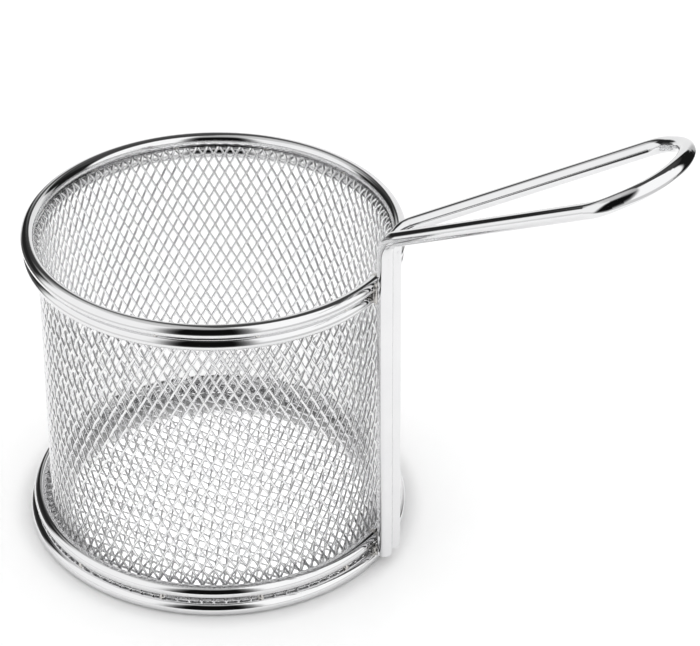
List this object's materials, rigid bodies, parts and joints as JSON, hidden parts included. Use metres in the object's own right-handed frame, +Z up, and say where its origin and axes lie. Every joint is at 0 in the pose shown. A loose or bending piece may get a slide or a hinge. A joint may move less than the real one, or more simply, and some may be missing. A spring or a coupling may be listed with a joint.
{
  "type": "wire mesh basket",
  "caption": "Small round serving basket of woven stainless wire, with ring-bound rim and base and an upswept wire loop handle.",
  "frame": {"origin": "on the basket's axis, on the flat underside of the foot ring, which is the floor the basket stands on", "axes": "+Z up along the basket's axis, out of its open mouth; +X from the axis towards the handle; the basket is mirrored about the XZ plane"},
  "size_m": [0.1621, 0.0932, 0.1311],
  "materials": {
    "frame_wire": "bright polished stainless steel",
    "cloth_wire": "drawn stainless wire, bright, woven",
    "weld": "electropolished weld metal, slightly duller than the wire"
  },
  "bodies": {
    "root": {"rim_upper_ring": "frame_wire", "rim_lower_ring": "frame_wire", "base_upper_ring": "frame_wire", "base_lower_ring": "frame_wire", "handle_wire": "frame_wire", "wall_wires_right_hand": "cloth_wire", "wall_wires_left_hand": "cloth_wire", "base_wires_lengthwise": "cloth_wire", "base_wires_crosswise": "cloth_wire", "rim_upper_butt_weld": "weld", "rim_lower_butt_weld": "weld", "base_upper_butt_weld": "weld", "base_lower_butt_weld": "weld", "rim_tack_welds": "weld", "base_tack_welds": "weld", "handle_right_rim_weld": "weld", "handle_left_rim_weld": "weld", "handle_right_base_weld": "weld", "handle_left_base_weld": "weld"}
  },
  "joints": []
}
